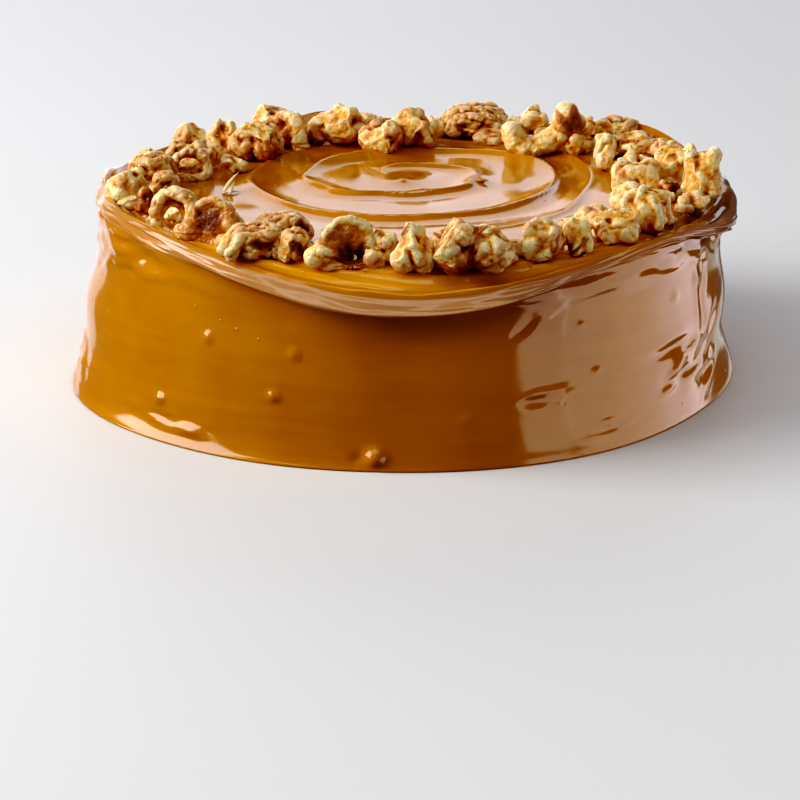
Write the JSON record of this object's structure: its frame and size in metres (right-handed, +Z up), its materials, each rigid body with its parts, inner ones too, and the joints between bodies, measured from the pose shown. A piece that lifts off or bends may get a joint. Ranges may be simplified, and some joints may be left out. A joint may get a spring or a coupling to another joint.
{
  "type": "walnut torte",
  "caption": "Round uncut torte coated in glossy caramel cream, with a spatula swirl on top, a folded cream edge and a ring of broken walnuts.",
  "frame": {"origin": "middle of the flat base", "axes": "+Z up; -Y towards the side where the cream folds over the wall; +X towards the big curl of cream on the rim"},
  "size_m": [0.2429, 0.2397, 0.0853],
  "materials": {
    "caramel_cream": "glossy, smooth spread cream",
    "walnut_kernel": "matte, slightly oily"
  },
  "bodies": {
    "root": {"coated_torte": "caramel_cream", "walnut_01": "walnut_kernel", "walnut_02": "walnut_kernel", "walnut_03": "walnut_kernel", "walnut_04": "walnut_kernel", "walnut_05": "walnut_kernel", "walnut_06": "walnut_kernel", "walnut_07": "walnut_kernel", "walnut_08": "walnut_kernel", "walnut_09": "walnut_kernel", "walnut_10": "walnut_kernel", "walnut_11": "walnut_kernel", "walnut_12": "walnut_kernel", "walnut_13": "walnut_kernel", "walnut_14": "walnut_kernel", "walnut_15": "walnut_kernel", "walnut_16": "walnut_kernel", "walnut_17": "walnut_kernel", "walnut_18": "walnut_kernel", "walnut_19": "walnut_kernel", "walnut_20": "walnut_kernel", "walnut_21": "walnut_kernel", "walnut_22": "walnut_kernel", "walnut_23": "walnut_kernel", "walnut_24": "walnut_kernel", "walnut_25": "walnut_kernel", "walnut_26": "walnut_kernel", "walnut_27": "walnut_kernel", "walnut_28": "walnut_kernel", "walnut_29": "walnut_kernel", "walnut_30": "walnut_kernel", "walnut_31": "walnut_kernel", "walnut_32": "walnut_kernel", "walnut_33": "walnut_kernel", "walnut_34": "walnut_kernel", "walnut_35": "walnut_kernel", "walnut_36": "walnut_kernel", "walnut_37": "walnut_kernel", "walnut_38": "walnut_kernel", "walnut_39": "walnut_kernel", "walnut_40": "walnut_kernel", "walnut_41": "walnut_kernel", "walnut_42": "walnut_kernel", "walnut_43": "walnut_kernel", "walnut_44": "walnut_kernel", "walnut_45": "walnut_kernel", "walnut_46": "walnut_kernel", "walnut_47": "walnut_kernel", "walnut_48": "walnut_kernel", "walnut_49": "walnut_kernel", "walnut_50": "walnut_kernel", "walnut_51": "walnut_kernel", "walnut_52": "walnut_kernel", "walnut_53": "walnut_kernel", "walnut_54": "walnut_kernel", "walnut_55": "walnut_kernel", "walnut_56": "walnut_kernel", "walnut_57": "walnut_kernel", "walnut_58": "walnut_kernel"}
  },
  "joints": []
}
